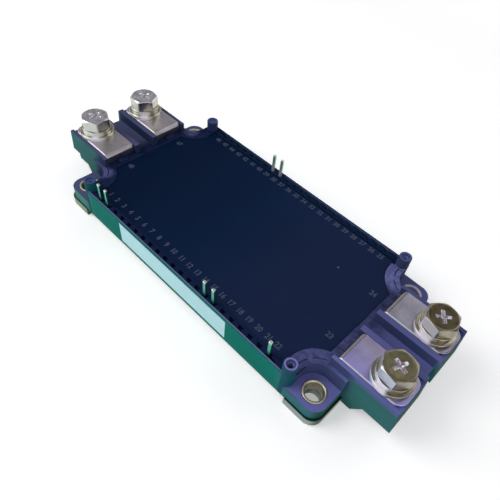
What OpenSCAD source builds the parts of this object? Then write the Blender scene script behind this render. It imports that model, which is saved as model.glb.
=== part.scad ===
// Half-bridge power module: baseplate, moulded frame, lid, busbars, terminal bolts and control pins.
// The origin is the centre of the baseplate's underside. X runs along the module and Z is up.
// The DC terminals are at the -X end and the AC terminals at the +X end. Pin place 1 is at -X, -Y.

/* [Baseplate] */
// Length of the baseplate
base_len = 122; // [118:0.5:130]
// Width of the baseplate across the lugs
base_wid = 62; // [61:0.5:68]
// Thickness of the baseplate
base_thk = 3; // [2:0.25:4]
// Radius of the baseplate's corners and of the lugs above them
corner_r = 4; // [2:0.5:5]
// Depth by which the long sides step in between the lugs
waist_depth = 2; // [1:0.25:3]
// Distance from a mounting hole to the end of the baseplate
hole_in_x = 6; // [5.5:0.25:7]
// Distance from a mounting hole to the long side of the baseplate
hole_in_y = 6; // [5.5:0.25:6.5]
// Bore of the mounting holes
mount_d = 5.6; // [4.4:0.1:6]
// Outer diameter of the bushings in the lugs
bushing_d = 7.3; // [7:0.1:8]
// Height by which the bushings stand above the lugs
bushing_proud = 0.2; // [0:0.05:0.4]

/* [Frame] */
// Distance from the edge of the baseplate to the frame above it
frame_inset = 0.6; // [0.2:0.1:1]
// Height of the lugs above the baseplate
lug_h = 4.6; // [3.5:0.1:6]
// Height of the frame walls above the baseplate
frame_h = 10.4; // [9.8:0.1:11]
// Radius of the scoop around each mounting hole
scoop_r = 5.6; // [5:0.1:6]
// Thickness of the wall between a scoop and the lid
corner_wall = 4.8; // [4:0.1:5]
// Height of the outer rim above the walls
rim_h = 0.3; // [0.1:0.1:1]
// Thickness of the outer rim
rim_thk = 0.7; // [0.6:0.1:1]
// Height of the skirt that hangs beside the baseplate's waist
skirt_h = 0.8; // [0.4:0.1:1.5]
// Outer radius of the four board posts
post_r = 2.15; // [1.9:0.05:2.3]
// Height of the posts above the frame walls
post_h = 3.85; // [2:0.05:4.5]
// Radius of the screw hole in each post
post_hole_r = 1; // [0.8:0.05:1.2]
// Depth of the screw hole in each post
post_hole_depth = 8; // [5:0.5:9]

/* [Lid] */
// Thickness of the lid
lid_thk = 1.6; // [1.2:0.1:2.2]
// Depth of the lid's top below the frame walls
lid_drop = 0.4; // [0.2:0.1:0.8]
// Width of the ledge that carries the lid
ledge_wid = 1.3; // [0.8:0.1:1.6]
// Radius of the round moulding mark on the lid
mark_r = 0.8; // [0.5:0.1:1.5]

/* [Control pins] */
// Distance from the first pin place of a row to the nearest board post
row_in = 7.2; // [7:0.1:9]
// Width of a pin along the row
pin_wid = 1.1; // [0.8:0.05:1.3]
// Thickness of a pin across the row
pin_thk = 0.8; // [0.6:0.05:0.9]
// Height of the pin tips above the baseplate
pin_h = 17.5; // [16:0.1:20]
// Width of a pin slot along the row
slot_len = 1.8; // [1.6:0.1:2.2]
// Width of a pin slot across the row
slot_wid = 1.5; // [1.3:0.1:1.7]
// Depth of a pin slot
slot_depth = 2.4; // [1.5:0.1:3.5]

/* [Terminals] */
// Distance from a terminal bolt to the end of the baseplate
bolt_out = 7.5; // [7:0.25:9]
// Distance between the two terminals at one end
term_pitch = 22; // [21:0.25:23]
// Height of the terminal faces above the baseplate
term_h = 14; // [13.5:0.1:15.5]
// Width of a terminal tab
tab_wid = 11.7; // [10.8:0.1:12]
// Thickness of the busbars
tab_thk = 1.1; // [0.8:0.05:1.4]
// Distance from a bolt to the outer end of its tab
tab_front = 7; // [6:0.1:7.2]
// Distance from a bolt to the upright leg of its tab
leg_back = 14.1; // [12.5:0.1:14.5]
// Corner radius of the tab's outer end
tab_corner_r = 3.4; // [2:0.1:5]
// Outer radius of the bends in the busbars
bend_r = 1.6; // [1.5:0.05:1.8]
// Distance from a bolt to the top edge of the terminal block's end
block_front = 7.2; // [7.2:0.1:8.5]
// Distance by which the block's end face leans out towards its foot
block_lean = 0.9; // [0:0.1:1.5]
// Thickness of the rails beside the tabs
rail_wid = 1.35; // [1:0.05:1.8]
// Depth of the rails' top below the terminal faces
rail_drop = 0.2; // [0:0.05:0.5]
// Width of the channel between the two terminals of one end
channel_wid = 6; // [4:0.25:7]

/* [Bolts and nuts] */
// Diameter of the bolt shanks
shank_d = 5.9; // [5:0.1:6]
// Length of the bolts under the head
bolt_len = 12; // [10:0.5:12.5]
// Width across the flats of the bolt heads
head_af = 9.4; // [9:0.1:10]
// Width across the flats of the nuts
nut_af = 10; // [9.5:0.1:10.4]
// Height of the bolt heads
head_h = 4.1; // [3.5:0.1:5]
// Thickness of the nuts
nut_h = 5; // [4:0.1:5.5]
// Outer diameter of the flat washers
washer_d = 12.5; // [11.5:0.1:13]
// Thickness of the flat washers
washer_thk = 1.4; // [1:0.1:1.8]
// Outer diameter of the spring washers
spring_d = 10.6; // [10:0.1:11]
// Thickness of the spring washers
spring_thk = 1.7; // [1.2:0.1:2]

/* [Circuit inside] */
// Thickness of the ceramic plates with their lower copper
plate_thk = 0.7; // [0.5:0.05:1]
// Thickness of the copper tracks
track_thk = 0.3; // [0.2:0.05:0.4]
// Thickness of the chips
chip_thk = 0.2; // [0.15:0.05:0.4]
// Length of a transistor chip along the module
igbt_len = 10.5; // [8:0.5:11]
// Length of a diode chip along the module
diode_len = 7.5; // [6:0.5:8]
// Distance from the chips of the high side to the edge of their track
chip_in = 1.05; // [1:0.05:2]
// Height of the shelf that carries the inner feet of the pins
shelf_h = 2.2; // [1.8:0.1:2.4]
// Thickness of the silicone gel layer
gel_thk = 2; // [1:0.1:2.2]

/* [Side label] */
// Length of the side label
label_len = 52; // [30:1:80]
// Height of the side label
label_h = 8.6; // [6:0.2:9]
// Distance of the label's middle from the middle of the module
label_shift = -2; // [-5:0.5:5]

/* [Hidden] */
$fn = 64;
eps = 0.01;
cut = 40;

// Clearances: fitted metal in plastic, lid in its recess, bolt in nut, label on the wall
fit_gap = 0.05;
lid_gap = 0.15;
thread_gap = 0.05;
label_thk = 0.12;

// Ends of the module and sides of the near and far rows
DC = -1;
AC = 1;
NEAR = -1;
FAR = 1;

// Colours
PLASTIC = [0.09, 0.10, 0.16];
LID_PLASTIC = [0.06, 0.08, 0.13];
NICKEL = [0.74, 0.73, 0.72];
TIN = [0.78, 0.80, 0.80];
STEEL = [0.66, 0.66, 0.60];

// Heights above the underside of the baseplate
lug_z = base_thk + lug_h;
frame_z = base_thk + frame_h;
rim_z = frame_z + rim_h;
post_z = frame_z + post_h;
lid_z = frame_z - lid_drop;
ledge_z = lid_z - lid_thk;
shelf_z = base_thk + shelf_h;
pin_z = base_thk + pin_h;
term_z = base_thk + term_h;
seat_z = term_z - tab_thk;
rail_z = term_z - rail_drop;
block_z = base_thk + 2.8;
apron_z = 0.6;

// Mounting holes
mount_x = base_len / 2 - hole_in_x;
mount_y = base_wid / 2 - hole_in_y;

// Outline of the frame and the posts that round its corners
frame_x = base_len / 2 - frame_inset;
frame_y = base_wid / 2 - frame_inset;
lug_in_x = mount_x - scoop_r;
lug_in_y = mount_y - scoop_r;
post_edge = 0.05;
post_x = lug_in_x - post_r - post_edge;
post_y = frame_y - post_r - post_edge;
waist_y = base_wid / 2 - waist_depth;

// Each row has 22 places, and a place keeps its number
pin_count = 22;
pin_pitch = round(200 * (post_x - row_in) / (pin_count - 1)) / 100;

// Pin rows, lid and cavity, each set back from the one before
row_y = frame_y - rim_thk - slot_wid / 2 - fit_gap;
slot_web = 0.8;
lid_y = row_y - slot_wid / 2 - slot_web;
term_x = base_len / 2 + bolt_out;
term_y = term_pitch / 2;
leg_x = term_x - leg_back;
foot_bar = 2.9;
lid_x = leg_x - foot_bar;
lid_corner_r = scoop_r + corner_wall;
cavity_x = lid_x - ledge_wid;
cavity_y = lid_y - ledge_wid;
shelf_wid = 2.1;
shelf_y = cavity_y - shelf_wid;

// Countersink of the posts, and the fine groove in the top of each corner wall
post_mouth = 0.4;
groove_r = scoop_r + 1.6;
groove_wid = 0.35;
groove_depth = 0.4;
groove_break = 1.6;

// Terminal blocks
half_tab = tab_wid / 2;
block_y = term_y + half_tab + 2 * fit_gap + rail_wid;
bar_z = lid_z + 0.5;
rail_x = leg_x - 1.2;
block_x = term_x + block_front;
base_x = base_len / 2;
apron_gap = 0.1;
apron_len = 3.4;
apron_slope = 3.1;
undercut_len = 4.2;
undercut_h = 2.2;
end_groove = 0.8;

// Bolts, from the terminal face upwards and downwards
washer_z = term_z;
spring_z = washer_z + washer_thk;
head_z = spring_z + spring_thk;
tip_z = head_z - bolt_len;
well_z = tip_z - 0.8;
well_r = shank_d / 2 + 0.55;
washer_hole_r = shank_d / 2 + 0.25;
head_r = head_af / 2 / cos(30);
nut_r = nut_af / 2 / cos(30);
split_wid = 1;
split_tilt = 22;

// Busbars inside the frame
run_z = base_thk + 4;
inner_r = bend_r - tab_thk;
track_z = base_thk + plate_thk + track_thk;

// Ceramic plates in a row along the module
plate_clear = 1;
track_edge = 0.3;
plate_y = shelf_y - plate_clear;
plate_gap = 1;
cavity_r = lid_corner_r + ledge_wid;
plates_x = floor(20 * (mount_x - sqrt(pow(cavity_r, 2) - pow(mount_y - plate_y, 2)) - 0.5)) / 20;
plate_len = floor(20 * (2 * plates_x - 2 * plate_gap) / 3) / 20;
drop_clear = 1.3;
drop_x = plates_x + drop_clear;
foot_clear = 0.8;
chip_start = igbt_len - track_edge;
foot_x = plate_len + plate_gap + chip_start + foot_clear;

// Tracks across each plate: high side, middle and low side, then two narrow gate tracks
track_gap = 1;
gate_wid = 0.8;
gate_in = 1.6;
gate_y = plate_y - gate_in;
mid_far_y = 0.292 * plate_y;
mid_near_y = -0.283 * plate_y;
rail_track_y = gate_y - gate_wid / 2 - track_gap;
landing = 2.2;
chip_wid = rail_track_y - mid_far_y - track_gap - landing - chip_in;
high_y = mid_far_y + track_gap + landing + chip_wid / 2;
low_y = mid_near_y + track_edge + chip_wid / 2;
igbt_shift = track_edge - igbt_len / 2;
chip_gap = 1.2;
diode_shift = track_edge + chip_gap + diode_len / 2;
chip_z = track_z + chip_thk;

// Small parts on the gate tracks
small_x = plate_len / 4;
resistor_len = 1.6;
resistor_h = 0.5;
thermistor_len = 3.2;
thermistor_wid = 1.6;
thermistor_h = 0.8;

// Aluminium ribbons
ribbon_thk = 0.2;
ribbon_wid = 1.5;
ribbon_foot = 1.2;
ribbon_step = 2.6;
ribbon_in = 1.2;
rail_in = 1.5;
shelf_in = 0.8;
arch_h = 2.2;
signal_h = 0.7;
arch_z = track_z + arch_h;
signal_z = shelf_z + pin_thk + signal_h;
gel_in = 1.2;
gel_clear = 0.3;
gel_z = max(arch_z, signal_z) + gel_clear;

function plate_x(i) = (i - 2) * (plate_len + plate_gap);
function pin_x(place) = (place <= pin_count ? place - 1 - (pin_count - 1) / 2
    : (pin_count - 1) / 2 - (place - pin_count - 3)) * pin_pitch;
function pin_side(place) = place <= pin_count ? NEAR : FAR;

// A rectangle centred on the origin with quarter-round corners
module round_plate(x, y, r) {
    square([2 * x, 2 * (y - r)], center = true);
    square([2 * (x - r), 2 * y], center = true);
    for (sx = [-1, 1], sy = [-1, 1]) translate([sx * (x - r), sy * (y - r)]) circle(r);
}

// Everything outside a scoop: the ground that a screw head and its driver need around one hole
module scoop_area(sx, sy) {
    scale_free = [base_len, base_wid];
    translate([sx * mount_x, sy * mount_y]) {
        circle(scoop_r);
        translate([sx > 0 ? -scoop_r : -scale_free[0] + scoop_r, sy > 0 ? 0 : -scale_free[1]])
            square(scale_free);
        translate([sx > 0 ? 0 : -scale_free[0], sy > 0 ? -scoop_r : -scale_free[1] + scoop_r])
            square(scale_free);
    }
}

// Outline of the frame walls above the lugs, rounded around each post
module frame_outline() {
    difference() {
        square([2 * frame_x, 2 * frame_y], center = true);
        for (sx = [-1, 1], sy = [-1, 1]) {
            scoop_area(sx, sy);
            translate([sx * (post_x + base_len / 2), sy * (post_y + base_wid / 2)])
                square([base_len, base_wid], center = true);
        }
    }
    for (sx = [-1, 1], sy = [-1, 1]) {
        translate([sx * post_x, sy * post_y]) circle(post_r + post_edge);
        intersection() {
            translate([sx * (frame_x + post_x) / 2, 0])
                square([frame_x - post_x, 2 * lug_in_y], center = true);
            square([2 * frame_x, 2 * frame_y], center = true);
        }
        difference() {
            translate([sx * (post_x + scoop_r / 2), sy * (mount_y + post_y) / 2])
                square([scoop_r, post_y - mount_y], center = true);
            scoop_area(sx, sy);
        }
        difference() {
            translate([sx * (post_x + mount_x) / 2, sy * (lug_in_y + mount_y) / 2])
                square([mount_x - post_x, mount_y - lug_in_y], center = true);
            scoop_area(sx, sy);
        }
    }
}

// Outline inside the frame, with round bites around the scoops
module inner_outline(x, y, r) {
    difference() {
        square([2 * x, 2 * y], center = true);
        for (sx = [-1, 1], sy = [-1, 1]) translate([sx * mount_x, sy * mount_y]) circle(r);
    }
}

module at_mounts() {
    for (sx = [-1, 1], sy = [-1, 1]) translate([sx * mount_x, sy * mount_y, 0]) children();
}

// What is cut away to round the two outer corners of a tab
module tab_corners() {
    for (s = [-1, 1]) translate([term_x + tab_front - tab_corner_r, s * (half_tab - tab_corner_r)])
        difference() {
            translate([0, s > 0 ? 0 : -tab_corner_r - 1]) square(tab_corner_r + 1);
            circle(tab_corner_r);
        }
}

// Quarter of a bent strip around a centre, in the quadrant given by the two signs
module bend(cx, cz, sx, sz) {
    translate([cx, cz]) intersection() {
        difference() {
            circle(bend_r);
            circle(bend_r - tab_thk);
        }
        translate([sx > 0 ? 0 : -bend_r, sz > 0 ? 0 : -bend_r]) square(bend_r);
    }
}

// Side view of a terminal: tab, upright leg and the run that enters the cavity
module terminal_profile() {
    translate([leg_x + bend_r, seat_z]) square([leg_back + tab_front - bend_r, tab_thk]);
    bend(leg_x + bend_r, term_z - bend_r, -1, 1);
    translate([leg_x, run_z + bend_r]) square([tab_thk, term_z - run_z - 2 * bend_r]);
    bend(leg_x + tab_thk - bend_r, run_z + bend_r, 1, -1);
    translate([drop_x + bend_r, run_z]) square([leg_x + tab_thk - drop_x - 2 * bend_r, tab_thk]);
}

// Side view of the part that steps down from the run to the copper track
module foot_profile() {
    bend(drop_x + bend_r, run_z + tab_thk - bend_r, -1, 1);
    translate([drop_x, track_z + bend_r])
        square([tab_thk, run_z + tab_thk - track_z - 2 * bend_r]);
    bend(drop_x + tab_thk - bend_r, track_z + bend_r, 1, -1);
    translate([foot_x, track_z]) square([drop_x + tab_thk - bend_r - foot_x, tab_thk]);
}

// Stretches a side view across the module, between two places along Y
module across(y0, y1) {
    translate([0, y1, 0]) rotate([90, 0, 0]) linear_extrude(y1 - y0) children();
}

// Turns what is drawn for the +X end to the chosen end
module at_end(end) {
    if (end > 0) children();
    else mirror([1, 0, 0]) children();
}

module terminal_strip(side) {
    difference() {
        across(side * term_y - half_tab, side * term_y + half_tab) terminal_profile();
        translate([0, side * term_y, seat_z - 1]) linear_extrude(tab_thk + 2) tab_corners();
    }
}

module bolt_hole(side) {
    translate([term_x, side * term_y, seat_z - 1]) cylinder(r = washer_hole_r, h = tab_thk + 2);
}

module busbar_dc(side) {
    inner = mid_far_y + track_gap + 0.3;
    outer = term_y + half_tab;
    color(NICKEL) at_end(DC) difference() {
        union() {
            terminal_strip(side);
            if (side > 0) across(inner, outer) foot_profile();
            else across(-outer, -inner) foot_profile();
        }
        bolt_hole(side);
    }
}

module busbar_ac() {
    foot_half = mid_far_y - 1.2;
    color(NICKEL) difference() {
        union() {
            for (side = [NEAR, FAR]) terminal_strip(side);
            translate([drop_x + bend_r, -term_y, run_z])
                cube([cavity_x - 0.4 - drop_x - bend_r, 2 * term_y, tab_thk]);
            across(-foot_half, foot_half) foot_profile();
        }
        for (side = [NEAR, FAR]) bolt_hole(side);
    }
}

module baseplate() {
    color(NICKEL) difference() {
        linear_extrude(base_thk) difference() {
            round_plate(base_x, base_wid / 2, corner_r);
            for (sy = [-1, 1]) translate([0, sy * (waist_y + base_wid / 2)])
                square([2 * lug_in_x, base_wid], center = true);
        }
        at_mounts() translate([0, 0, -1]) cylinder(d = mount_d, h = base_thk + 2);
    }
}

// Side view of a terminal block, with the apron that reaches down past the end of the baseplate
module block_profile(undercut) {
    foot = block_x + block_lean;
    low = [[rail_x, rail_z], [rail_x, base_thk], [base_x + apron_gap, base_thk],
        [base_x + apron_gap, apron_z], [base_x + apron_len, apron_z],
        [base_x + apron_len + apron_slope, block_z]];
    tail = undercut
        ? [[foot - undercut_len, block_z], [foot - undercut_len, block_z + undercut_h],
            [foot, block_z + undercut_h]]
        : [[foot, block_z]];
    polygon(concat(low, tail, [[block_x, rail_z]]));
}

// What one terminal needs cut out of the frame: tab seat, leg slot, window, nut pocket and bolt well
module terminal_cuts(side) {
    wide = tab_wid + 4 * fit_gap;
    translate([0, side * term_y - wide / 2, 0]) {
        translate([leg_x, 0, seat_z]) cube([cut, wide, cut]);
        translate([lid_x - eps, 0, bar_z]) cube([leg_x - lid_x + 1, wide, cut]);
        translate([leg_x - fit_gap, 0, run_z - fit_gap]) cube([tab_thk + 2 * fit_gap, wide, cut]);
        translate([drop_x, 0, run_z - fit_gap])
            cube([leg_x - drop_x + tab_thk / 2, wide, tab_thk + 2 * fit_gap]);
        translate([leg_x - inner_r - fit_gap, 0, run_z])
            cube([inner_r + tab_thk, wide, tab_thk + inner_r + fit_gap]);
        translate([leg_x, 0, seat_z - inner_r - fit_gap])
            cube([tab_thk + inner_r + fit_gap, wide, inner_r + 1]);
    }
    translate([term_x, side * term_y, 0]) {
        translate([0, 0, seat_z - nut_h]) rotate(30)
            cylinder(r = nut_r + fit_gap / cos(30), h = nut_h + 1, $fn = 6);
        translate([0, 0, well_z]) cylinder(r = well_r, h = cut);
    }
}

// One pin place: the open slot, and the narrow way down to the shelf where a pin is fitted
module pin_slot(place) {
    translate([pin_x(place), pin_side(place) * row_y, frame_z - slot_depth])
        translate([-slot_len / 2, -slot_wid / 2, 0]) cube([slot_len, slot_wid, slot_depth + 1]);
}

module pin_way(place) {
    side = pin_side(place);
    wide = pin_wid + 2 * fit_gap;
    thick = pin_thk + 2 * fit_gap;
    translate([pin_x(place) - wide / 2, side * row_y - thick / 2, shelf_z])
        cube([wide, thick, frame_z - shelf_z]);
    reach = row_y - cavity_y + thick / 2 + 1;
    translate([pin_x(place) - wide / 2, side > 0 ? cavity_y - 1 : -cavity_y + 1 - reach, shelf_z])
        cube([wide, reach, pin_thk + fit_gap]);
}

FITTED = [1, 2, 15, 16, 22, 38, 39];

module housing() {
    color(PLASTIC) difference() {
        union() {
            translate([0, 0, base_thk]) linear_extrude(lug_h) round_plate(frame_x, frame_y, corner_r);
            translate([0, 0, base_thk]) linear_extrude(frame_h) frame_outline();
            for (sy = [-1, 1]) {
                translate([-lug_in_x + fit_gap, sy > 0 ? waist_y + fit_gap : -frame_y, base_thk - skirt_h])
                    cube([2 * lug_in_x - 2 * fit_gap, frame_y - waist_y - fit_gap, skirt_h + eps]);
                translate([-post_x, sy > 0 ? frame_y - rim_thk : -frame_y, frame_z - eps])
                    cube([2 * post_x, rim_thk, rim_h + eps]);
            }
            for (sx = [-1, 1], sy = [-1, 1]) translate([sx * post_x, sy * post_y, lug_z])
                cylinder(r = post_r, h = post_z - lug_z);
            for (end = [DC, AC]) at_end(end) across(-block_y, block_y) block_profile(end == DC);
        }
        translate([0, 0, shelf_z]) linear_extrude(cut) inner_outline(cavity_x, cavity_y, cavity_r);
        translate([0, 0, base_thk - 1]) linear_extrude(cut) inner_outline(cavity_x, shelf_y, cavity_r);
        translate([0, 0, ledge_z]) linear_extrude(cut) inner_outline(lid_x, lid_y, lid_corner_r);
        for (end = [DC, AC]) at_end(end) {
            for (side = [NEAR, FAR]) terminal_cuts(side);
            translate([lid_x - eps, -channel_wid / 2, lid_z]) cube([cut, channel_wid, cut]);
            translate([block_x - end_groove, -channel_wid / 2, 0]) cube([cut, channel_wid, cut]);
        }
        at_mounts() translate([0, 0, base_thk - 1]) cylinder(d = bushing_d + 2 * fit_gap, h = lug_h + 2);
        for (sx = [-1, 1], sy = [-1, 1]) translate([sx * post_x, sy * post_y, post_z - post_hole_depth])
            cylinder(r = post_hole_r, h = post_hole_depth + 1);
        for (sx = [-1, 1], sy = [-1, 1]) translate([sx * post_x, sy * post_y, post_z - post_mouth]) {
            cylinder(r1 = post_hole_r, r2 = post_hole_r + post_mouth, h = post_mouth);
            translate([0, 0, post_mouth]) cylinder(r = post_hole_r + post_mouth, h = 1);
        }
        for (sx = [-1, 1], sy = [-1, 1]) translate([sx * mount_x, sy * mount_y, frame_z - groove_depth])
            linear_extrude(groove_depth + 1) corner_groove(sx, sy);
        for (place = [1:pin_count]) {
            pin_slot(place);
            pin_slot(place + pin_count + 2);
        }
        for (place = FITTED) pin_way(place);
    }
    color(PLASTIC) for (end = [DC, AC], side = [NEAR, FAR]) leg_boss(end, side);
}

// Plan of the groove in one corner wall: two arcs with a short break between them
module corner_groove(sx, sy) {
    difference() {
        circle(groove_r + groove_wid);
        circle(groove_r);
        translate([-cut, sy > 0 ? 0.5 : -cut - 0.5]) square([2 * cut, cut]);
        translate([sx > 0 ? -2.3 : 2.3 - cut, -cut]) square([cut, 2 * cut]);
        rotate(sx * sy > 0 ? 212 : 148) translate([sx > 0 ? 0 : -cut, -groove_break / 2])
            square([cut, groove_break]);
    }
}

// Small moulded block that backs the leg of each tab
module leg_boss(end, side) {
    boss_wid = 3.2;
    boss_h = 0.9;
    at_end(end) translate([lid_x + 0.3, side * term_y - boss_wid / 2, bar_z - eps])
        cube([foot_bar - 0.6, boss_wid, boss_h + eps]);
}

module lid() {
    color(LID_PLASTIC) difference() {
        translate([0, 0, ledge_z]) linear_extrude(lid_thk)
            inner_outline(lid_x - lid_gap, lid_y - lid_gap, lid_corner_r + lid_gap);
        translate([0.65 * lid_x, term_y, lid_z - 0.15]) cylinder(r = mark_r, h = 1);
    }
}

module bushing(sx, sy) {
    color(NICKEL) translate([sx * mount_x, sy * mount_y, base_thk]) difference() {
        cylinder(d = bushing_d, h = lug_h + bushing_proud);
        translate([0, 0, -1]) cylinder(d = mount_d, h = lug_h + bushing_proud + 2);
        translate([0, 0, lug_h + bushing_proud - 0.35])
            cylinder(d1 = mount_d, d2 = mount_d + 0.8, h = 0.4);
    }
}

module at_terminal(end, side, z) {
    translate([end * term_x, side * term_y, z]) children();
}

module nut(end, side) {
    color(STEEL) at_terminal(end, side, seat_z - nut_h) difference() {
        rotate(30) cylinder(r = nut_r, h = nut_h, $fn = 6);
        translate([0, 0, -1]) cylinder(r = shank_d / 2 + thread_gap, h = nut_h + 2);
    }
}

module flat_washer(end, side) {
    color(STEEL) at_terminal(end, side, washer_z) difference() {
        cylinder(d = washer_d, h = washer_thk);
        translate([0, 0, -1]) cylinder(r = washer_hole_r, h = washer_thk + 2);
    }
}

module spring_washer(end, side) {
    color(STEEL) at_terminal(end, side, spring_z) difference() {
        cylinder(d = spring_d, h = spring_thk);
        translate([0, 0, -1]) cylinder(r = washer_hole_r, h = spring_thk + 2);
        rotate(110) translate([spring_d / 2, 0, spring_thk / 2]) rotate([split_tilt, 0, 0])
            cube([spring_d, split_wid, 4 * spring_thk], center = true);
    }
}

module bolt(end, side, turn, cross) {
    recess = 2.4;
    recess_wid = 1.1;
    crown_r = head_af / 2 - 0.1;
    color(STEEL) at_terminal(end, side, 0) {
        difference() {
            translate([0, 0, head_z]) intersection() {
                rotate(turn) cylinder(r = head_r, h = head_h, $fn = 6);
                cylinder(r1 = crown_r + 1.73 * head_h, r2 = crown_r, h = head_h);
            }
            for (a = [0, 90]) translate([0, 0, head_z + head_h]) rotate(cross + a)
                cube([2 * recess, recess_wid, recess], center = true);
        }
        translate([0, 0, tip_z]) cylinder(d = shank_d, h = bolt_len);
    }
}

// A control pin: an upright blade whose foot lies on the shelf inside the frame
module pin(place) {
    side = pin_side(place);
    foot_end = shelf_y + 0.5;
    color(TIN) translate([pin_x(place) - pin_wid / 2, 0, shelf_z]) {
        translate([0, side * row_y - pin_thk / 2, 0]) cube([pin_wid, pin_thk, pin_z - shelf_z]);
        translate([0, side > 0 ? foot_end : -row_y, 0])
            cube([pin_wid, row_y - foot_end, pin_thk]);
    }
}

module side_label() {
    color("white") translate([label_shift - label_len / 2, -frame_y - label_thk, base_thk + 1])
        cube([label_len, label_thk, label_h]);
}

// One ceramic plate with its copper tracks, bonded into one piece
module substrate(i) {
    track_len = plate_len - 1;
    color([0.9, 0.9, 0.86]) translate([plate_x(i), 0, base_thk]) {
        translate([-plate_len / 2, -plate_y, 0]) cube([plate_len, 2 * plate_y, plate_thk]);
        for (band = [[mid_far_y + track_gap, rail_track_y], [mid_near_y, mid_far_y],
                [-rail_track_y, mid_near_y - track_gap], [gate_y - gate_wid / 2, gate_y + gate_wid / 2],
                [-gate_y - gate_wid / 2, -gate_y + gate_wid / 2]])
            translate([-track_len / 2, band[0], plate_thk - eps])
                cube([track_len, band[1] - band[0], track_thk + eps]);
    }
}

module chip(i, shift, y, length, tone) {
    color(tone) translate([plate_x(i) + shift - length / 2, y - chip_wid / 2, track_z])
        cube([length, chip_wid, chip_thk]);
}

module igbt(i, y) chip(i, igbt_shift, y, igbt_len, [0.35, 0.35, 0.4]);
module diode(i, y) chip(i, diode_shift, y, diode_len, [0.45, 0.45, 0.5]);

// A ribbon that leaves one surface, arches over and lands on another, drawn along Y
module ribbon(x, y0, z0, y1, z1, top) {
    dir = y1 > y0 ? 1 : -1;
    half = ribbon_foot / 2;
    crown = (y0 + y1) / 2;
    lift = 1.6 * ribbon_thk;
    translate([x + ribbon_wid / 2, 0, 0]) rotate([90, 0, -90]) linear_extrude(ribbon_wid)
        mirror([1, 0]) polygon([[y0 - dir * half, z0], [y0 + dir * half, z0],
            [crown, top - lift], [y1 - dir * half, z1], [y1 + dir * half, z1],
            [y1 + dir * half, z1 + ribbon_thk], [y1 - dir * half, z1 + 1.4 * ribbon_thk],
            [crown, top], [y0 + dir * half, z0 + 1.4 * ribbon_thk], [y0 - dir * half, z0 + ribbon_thk]]);
}

module bond_ribbons(i) {
    reach = chip_wid / 2 - ribbon_in;
    color("silver") for (row = [[high_y, mid_far_y - ribbon_in], [low_y, mid_near_y - track_gap - rail_in]])
        for (set = [[igbt_shift, 3], [diode_shift, 2]], k = [0:set[1] - 1])
            ribbon(plate_x(i) + set[0] + (k - (set[1] - 1) / 2) * ribbon_step,
                row[0] - reach, chip_z, row[1], track_z, arch_z);
}

module signal_ribbons() {
    color("silver") for (place = FITTED) {
        side = pin_side(place);
        ribbon(pin_x(place), side * (cavity_y - shelf_in), shelf_z + pin_thk, side * gate_y, track_z,
            signal_z);
    }
}

module gate_resistors() {
    color([0.15, 0.15, 0.18]) for (i = [1:3], side = [NEAR, FAR])
        translate([plate_x(i) + small_x, side * gate_y, track_z + resistor_h / 2])
            cube([resistor_len, gate_wid, resistor_h], center = true);
}

module thermistor() {
    color([0.5, 0.35, 0.2]) translate([plate_x(2) - small_x, -gate_y, track_z + thermistor_h / 2])
        cube([thermistor_len, thermistor_wid, thermistor_h], center = true);
}

module silicone_gel() {
    color([0.8, 0.85, 0.9, 0.5]) translate([-drop_x + gel_in, -cavity_y + fit_gap, gel_z])
        cube([2 * (drop_x - gel_in), 2 * cavity_y - 2 * fit_gap, gel_thk]);
}

baseplate();
housing();
lid();
bushing(DC, NEAR);  // bushing_dc_near
bushing(DC, FAR);  // bushing_dc_far
bushing(AC, NEAR);  // bushing_ac_near
bushing(AC, FAR);  // bushing_ac_far
busbar_dc(NEAR);  // busbar_dc_minus
busbar_dc(FAR);  // busbar_dc_plus
busbar_ac();
nut(DC, NEAR);  // nut_dc_minus
nut(DC, FAR);  // nut_dc_plus
nut(AC, NEAR);  // nut_ac_near
nut(AC, FAR);  // nut_ac_far
flat_washer(DC, NEAR);  // flat_washer_dc_minus
flat_washer(DC, FAR);  // flat_washer_dc_plus
flat_washer(AC, NEAR);  // flat_washer_ac_near
flat_washer(AC, FAR);  // flat_washer_ac_far
spring_washer(DC, NEAR);  // spring_washer_dc_minus
spring_washer(DC, FAR);  // spring_washer_dc_plus
spring_washer(AC, NEAR);  // spring_washer_ac_near
spring_washer(AC, FAR);  // spring_washer_ac_far
bolt(DC, NEAR, 33, 20);  // bolt_dc_minus
bolt(DC, FAR, 59, 5);  // bolt_dc_plus
bolt(AC, NEAR, 52, 67);  // bolt_ac_near
bolt(AC, FAR, 46, 38);  // bolt_ac_far
pin(1);  // pin_1
pin(2);  // pin_2
pin(15);  // pin_15
pin(16);  // pin_16
pin(22);  // pin_22
pin(38);  // pin_38
pin(39);  // pin_39
side_label();
substrate(1);  // substrate_1
substrate(2);  // substrate_2
substrate(3);  // substrate_3
igbt(1, high_y);  // igbt_high_1
igbt(2, high_y);  // igbt_high_2
igbt(3, high_y);  // igbt_high_3
igbt(1, low_y);  // igbt_low_1
igbt(2, low_y);  // igbt_low_2
igbt(3, low_y);  // igbt_low_3
diode(1, high_y);  // diode_high_1
diode(2, high_y);  // diode_high_2
diode(3, high_y);  // diode_high_3
diode(1, low_y);  // diode_low_1
diode(2, low_y);  // diode_low_2
diode(3, low_y);  // diode_low_3
bond_ribbons(1);  // bond_ribbons_1
bond_ribbons(2);  // bond_ribbons_2
bond_ribbons(3);  // bond_ribbons_3
signal_ribbons();
gate_resistors();
thermistor();
silicone_gel();
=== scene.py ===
"""Half-bridge power module with bolted terminals: its looks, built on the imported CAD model, in metres.
X runs along the module from the DC end to the AC end, Y from the row of pin 1 to the far row, and Z up.
Named sizes are in millimetres."""
import math

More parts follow.
